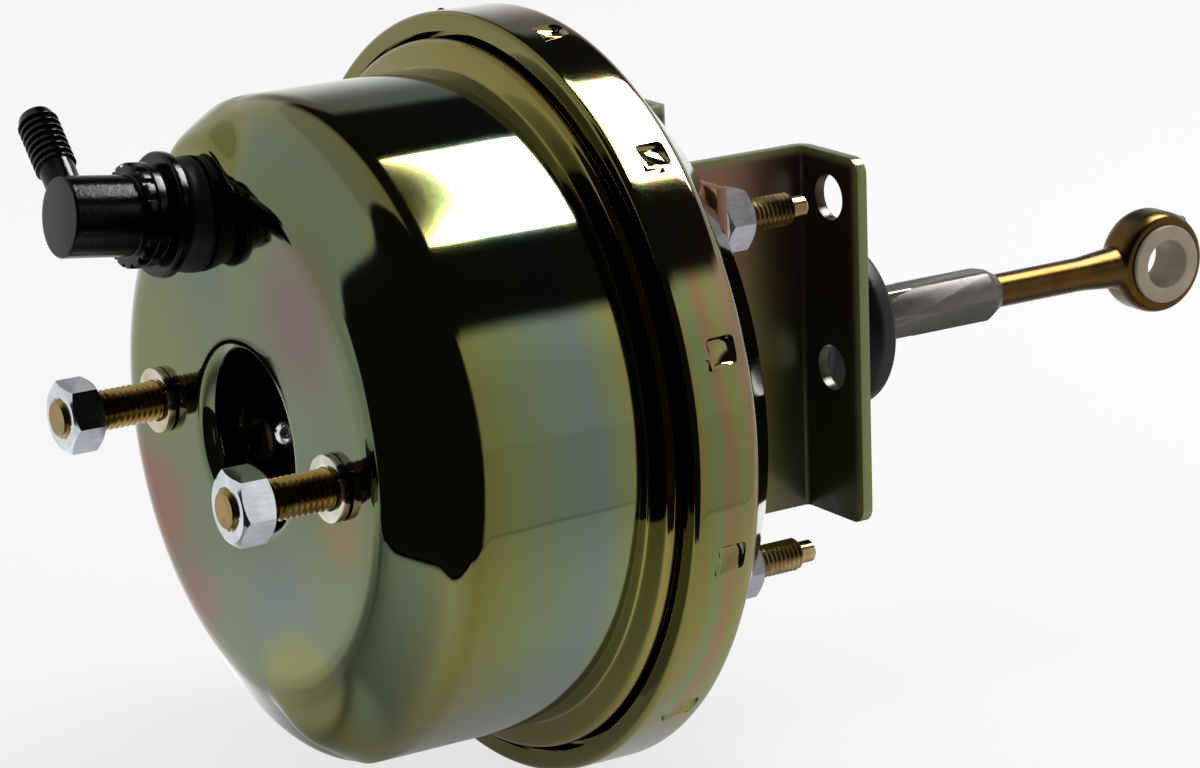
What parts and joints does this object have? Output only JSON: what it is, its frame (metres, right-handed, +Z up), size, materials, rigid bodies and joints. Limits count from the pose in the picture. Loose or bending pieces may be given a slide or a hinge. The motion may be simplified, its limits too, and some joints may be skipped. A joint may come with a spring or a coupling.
{
  "type": "brake booster",
  "caption": "Vacuum brake booster with plated steel shell, check valve, firewall brackets and a pedal rod with an eye; the rod works a sliding power piston.",
  "frame": {"origin": "on the booster's axis, in the plane of the front face that the master cylinder seats on, midway between its two studs", "axes": "+X along the axis from the master cylinder to the pedal, +Z up"},
  "size_m": [0.3235, 0.187, 0.187],
  "materials": {
    "yellow_zinc_shell": "polished yellow zinc plate with an iridescent olive, gold, pink and teal bloom",
    "yellow_zinc_bracket": "yellow zinc plate, satin, pink and olive bloom",
    "gold_zinc": "gold zinc plate",
    "bright_zinc": "clear zinc plate, satin",
    "bare_steel": "oiled steel",
    "spring_steel": "drawn spring wire",
    "black_rubber": "moulded rubber, semi matte",
    "black_plastic": "moulded nylon, satin gloss",
    "hub_moulding": "dark moulded resin",
    "white_nylon": "natural nylon",
    "filter_felt": "open foam"
  },
  "bodies": {
    "housing": {"front_shell": "yellow_zinc_shell", "rear_shell": "yellow_zinc_shell", "stud_plate": "bare_steel", "master_cylinder_studs": "gold_zinc", "master_cylinder_nuts": "bright_zinc", "master_cylinder_lock_washers": "gold_zinc", "front_rod_seal": "black_rubber", "diaphragm": "black_rubber", "return_spring": "spring_steel", "valve_grommet": "black_rubber", "rear_studs": "gold_zinc", "rear_nuts": "bright_zinc", "rear_lock_washers": "bright_zinc", "near_bracket": "yellow_zinc_bracket", "far_bracket": "yellow_zinc_bracket", "neck_bearing": "white_nylon", "neck_seal": "black_rubber", "neck_snap_ring": "spring_steel", "boot": "black_rubber"},
    "check_valve": {"check_valve_base": "black_plastic", "check_valve_cap": "black_plastic", "check_valve_spring": "spring_steel"},
    "valve_disc": {"check_valve_disc": "black_rubber"},
    "power_piston": {"valve_body": "hub_moulding", "support_plate": "bare_steel", "reaction_disc": "black_rubber", "output_rod": "bare_steel", "rod_adjuster": "bright_zinc", "plunger_key": "bare_steel", "poppet_valve": "black_rubber", "poppet_retainer": "bare_steel", "poppet_spring": "spring_steel", "air_filter": "filter_felt", "air_silencer": "filter_felt", "valve_spring": "spring_steel"},
    "plunger": {"valve_plunger": "bare_steel"},
    "pedal_rod": {"input_rod": "bare_steel", "spring_seat": "bare_steel", "rod_coupling": "bright_zinc", "pedal_eye_rod": "gold_zinc", "eye_bushing": "white_nylon"}
  },
  "joints": [
    {"name": "piston_slide", "type": "slide", "parent": "housing", "child": "power_piston", "axis": [-1, 0, 0], "range_m": [0, 0.032], "stiffness_N_per_m": 1500, "springref_m": -0.02, "deforming": ["return_spring", "diaphragm", "boot"]},
    {"name": "plunger_slide", "type": "slide", "parent": "power_piston", "child": "plunger", "axis": [-1, 0, 0], "range_m": [0, 0.002], "stiffness_N_per_m": 1500, "springref_m": -0.004, "deforming": ["valve_spring"]},
    {"name": "rod_tilt", "type": "hinge", "parent": "plunger", "child": "pedal_rod", "pos_m": [0.1065, 0, 0], "axis": [0, 1, 0], "range_deg": [-2, 2], "stiffness_Nm_per_rad": 40},
    {"name": "check_valve_swivel", "type": "hinge", "parent": "housing", "child": "check_valve", "pos_m": [0, 0.022, 0.051], "axis": [-0.9914, 0, 0.1305], "continuous": true},
    {"name": "valve_disc_lift", "type": "slide", "parent": "check_valve", "child": "valve_disc", "axis": [-0.9914, 0, 0.1305], "range_m": [0, 0.0015], "stiffness_N_per_m": 30, "springref_m": -0.003, "deforming": ["check_valve_spring"]}
  ]
}
